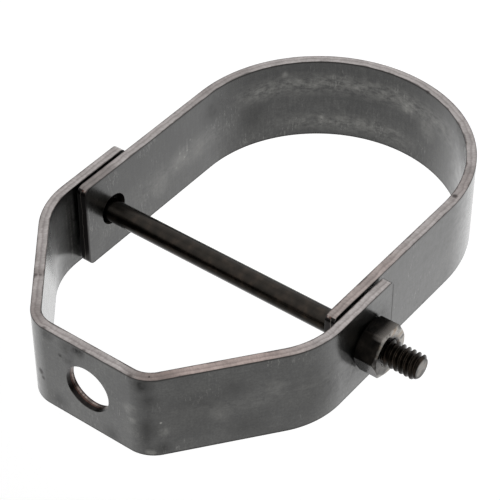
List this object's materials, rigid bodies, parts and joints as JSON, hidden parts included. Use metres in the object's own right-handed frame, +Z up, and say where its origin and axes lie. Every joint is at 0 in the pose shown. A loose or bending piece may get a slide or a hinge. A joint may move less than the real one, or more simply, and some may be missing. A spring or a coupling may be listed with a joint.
{
  "type": "clevis hanger",
  "caption": "Pipe clevis hanger: a bent strap yoke with a rod hole carries a U-shaped strap loop on a cross bolt held by a hex nut.",
  "frame": {"origin": "centre of the hanger rod's hole, on the outer face of the yoke's top plate", "axes": "+Z up along the hanger rod, Y along the pipe, X along the cross bolt with the bolt head at +X and the nut at -X"},
  "size_m": [0.0949, 0.0222, 0.1192],
  "materials": {
    "plain_steel_strap": "plain mill-finish steel strip, satin, lightly scuffed, with sheared edges",
    "black_oxide_steel": "black oxide with an oil film, bare steel at the bolt's end face"
  },
  "bodies": {
    "yoke": {"upper_yoke": "plain_steel_strap"},
    "loop": {"lower_loop": "plain_steel_strap"},
    "bolt": {"cross_bolt": "black_oxide_steel"},
    "nut": {"hex_nut": "black_oxide_steel"}
  },
  "joints": [
    {"name": "loop_swing", "type": "hinge", "parent": "yoke", "child": "loop", "pos_m": [0, 0, -0.0472], "axis": [1, 0, 0], "range_deg": [-100, 100]},
    {"name": "bolt_turn", "type": "hinge", "parent": "yoke", "child": "bolt", "pos_m": [0, 0, -0.0472], "axis": [1, 0, 0], "range_deg": [0, 1700]},
    {"name": "nut_run", "type": "slide", "parent": "yoke", "child": "nut", "axis": [-1, 0, 0], "range_m": [0, 0.006]}
  ],
  "couplings": [
    {"joint": "nut_run", "follows": "bolt_turn", "m_per_rad": 0.00020213}
  ]
}
